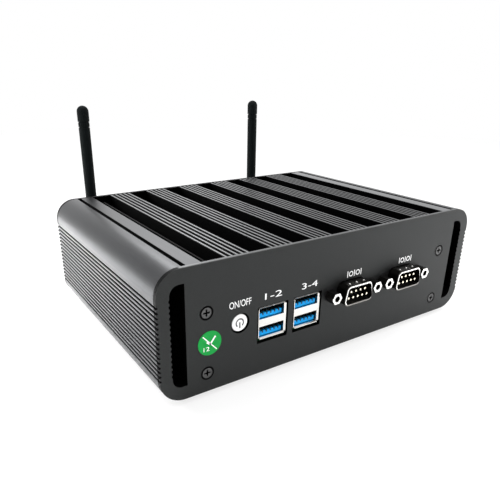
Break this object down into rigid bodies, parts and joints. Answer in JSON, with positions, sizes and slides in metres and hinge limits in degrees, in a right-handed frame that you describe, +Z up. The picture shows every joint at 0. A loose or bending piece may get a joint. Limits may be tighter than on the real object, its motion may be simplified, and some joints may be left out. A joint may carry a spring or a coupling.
{
  "type": "point of sale computer",
  "caption": "Fanless point of sale computer with a finned housing, front ports and hinged antennas.",
  "frame": {"origin": "centre of the whole outline at the level of the surface under the feet", "axes": "+X to the right seen from the front, +Y from the front panel to the rear, +Z up"},
  "size_m": [0.1756, 0.1456, 0.1025],
  "materials": {
    "brushed_housing": "brushed, dark anodised",
    "dark_panel": "fine matte, dark anodised",
    "bare_aluminium": "milled",
    "black_steel": "black oxide",
    "plated_steel": "zinc plated",
    "nickel": "nickel plated",
    "gold": "gold flashed",
    "brass": "turned",
    "circuit_board": "lacquered",
    "chip": "moulded",
    "black_plastic": "moulded",
    "blue_plastic": "moulded",
    "white_plastic": "moulded",
    "antenna_rubber": "satin",
    "rubber": "moulded",
    "sticker": "printed"
  },
  "bodies": {
    "case": {"housing": "brushed_housing", "front_panel": "dark_panel", "rear_panel": "dark_panel", "front_panel_screws": "black_steel", "rear_panel_screws": "black_steel", "bottom_cover_screws": "black_steel", "bottom_cover": "dark_panel", "rubber_feet": "rubber", "main_board": "circuit_board", "board_standoffs": "brass", "board_screws": "plated_steel", "processor": "chip", "heat_block": "bare_aluminium", "heat_block_screws": "plated_steel", "memory_module": "circuit_board", "memory_socket": "black_plastic", "solid_state_drive": "circuit_board", "drive_socket": "black_plastic", "radio_card": "circuit_board", "radio_socket": "black_plastic", "clock_cell_holder": "black_plastic", "clock_cell": "plated_steel", "power_switch": "black_plastic", "front_usb_left_shell": "nickel", "front_usb_left_tongues": "blue_plastic", "front_usb_left_contacts": "gold", "front_usb_right_shell": "nickel", "front_usb_right_tongues": "blue_plastic", "front_usb_right_contacts": "gold", "rear_usb_shell": "nickel", "rear_usb_tongues": "black_plastic", "rear_usb_contacts": "gold", "serial_port_left_shell": "nickel", "serial_port_left_insulator": "black_plastic", "serial_port_left_pins": "gold", "serial_port_right_shell": "nickel", "serial_port_right_insulator": "black_plastic", "serial_port_right_pins": "gold", "serial_port_jackscrews": "nickel", "monitor_port_shell": "nickel", "monitor_port_insulator": "blue_plastic", "monitor_port_jackscrews": "nickel", "power_inlet": "black_plastic", "power_inlet_pin": "plated_steel", "video_port_shell": "nickel", "video_port_insert": "black_plastic", "network_port_shell": "nickel", "network_port_contacts": "gold", "audio_jacks": "black_plastic", "antenna_jack_left": "gold", "antenna_jack_right": "gold", "antenna_jack_nuts": "gold", "inspection_sticker": "sticker"},
    "power_button": {"power_button": "white_plastic"},
    "left_antenna_elbow": {"antenna_elbow_left": "black_plastic", "antenna_hinge_pin_left": "plated_steel"},
    "left_antenna_whip": {"antenna_whip_left": "antenna_rubber"},
    "right_antenna_elbow": {"antenna_elbow_right": "black_plastic", "antenna_hinge_pin_right": "plated_steel"},
    "right_antenna_whip": {"antenna_whip_right": "antenna_rubber"}
  },
  "joints": [
    {"name": "power_button_press", "type": "slide", "parent": "case", "child": "power_button", "axis": [0, 1, 0], "range_m": [0, 0.0008], "stiffness_N_per_m": 300, "springref_m": -0.002},
    {"name": "left_antenna_swivel", "type": "hinge", "parent": "case", "child": "left_antenna_elbow", "pos_m": [-0.0642, 0.0558, 0.0239], "axis": [0, 1, 0], "range_deg": [-90, 40]},
    {"name": "left_antenna_fold", "type": "hinge", "parent": "left_antenna_elbow", "child": "left_antenna_whip", "pos_m": [-0.0642, 0.069, 0.0239], "axis": [-1, 0, 0], "range_deg": [0, 90]},
    {"name": "right_antenna_swivel", "type": "hinge", "parent": "case", "child": "right_antenna_elbow", "pos_m": [0.0463, 0.0558, 0.0239], "axis": [0, 1, 0], "range_deg": [-40, 90]},
    {"name": "right_antenna_fold", "type": "hinge", "parent": "right_antenna_elbow", "child": "right_antenna_whip", "pos_m": [0.0463, 0.069, 0.0239], "axis": [-1, 0, 0], "range_deg": [0, 90]}
  ]
}
